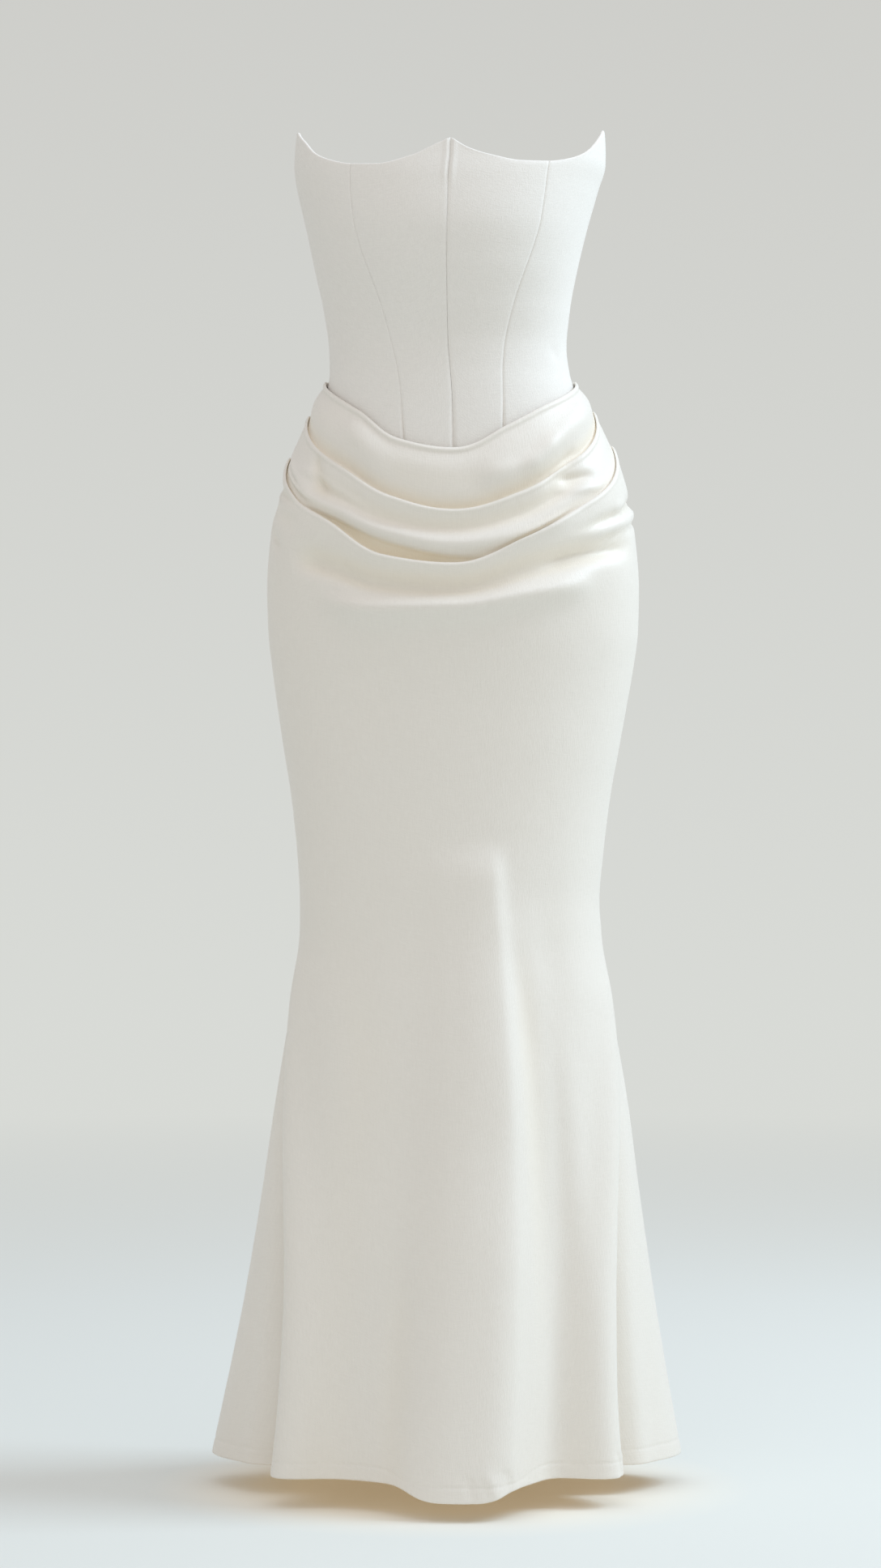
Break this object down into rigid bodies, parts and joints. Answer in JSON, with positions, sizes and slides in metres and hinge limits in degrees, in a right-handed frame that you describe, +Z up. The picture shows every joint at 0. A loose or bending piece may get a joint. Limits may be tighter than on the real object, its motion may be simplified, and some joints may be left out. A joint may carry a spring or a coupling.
{
  "type": "strapless maxi dress",
  "caption": "Floor-length strapless dress: panelled bodice with a peaked top edge, cowl-folded hip drape, column skirt flaring below the knee, concealed back zip.",
  "frame": {"origin": "on the axis of the body at the waist, where the bodice grips the wearer", "axes": "+Z up; -Y is the front of the dress; +X is the wearer's left, the viewer's right"},
  "size_m": [0.4423, 0.4032, 1.2443],
  "materials": {
    "bodice_crepe": "matte ivory crepe",
    "skirt_satin": "soft ivory satin-back crepe",
    "zip_tape": "woven ivory tape",
    "zip_metal": "ivory lacquer"
  },
  "bodies": {
    "dress": {"bodice_front_left": "bodice_crepe", "bodice_front_right": "bodice_crepe", "bodice_side_front_left": "bodice_crepe", "bodice_side_front_right": "bodice_crepe", "bodice_side_back_left": "bodice_crepe", "bodice_side_back_right": "bodice_crepe", "bodice_back_left": "bodice_crepe", "bodice_back_right": "bodice_crepe", "skirt_front": "skirt_satin", "skirt_back_left": "skirt_satin", "skirt_back_right": "skirt_satin", "zip_tape_left": "zip_tape", "zip_tape_right": "zip_tape", "zip_slider": "zip_metal"},
    "zip_tab": {"zip_pull_tab": "zip_metal"}
  },
  "joints": [
    {"name": "zip_tab_hinge", "type": "hinge", "parent": "dress", "child": "zip_tab", "pos_m": [-0.00354, 0.09338, 0.115], "axis": [1, 0, 0], "range_deg": [0, 170]}
  ]
}
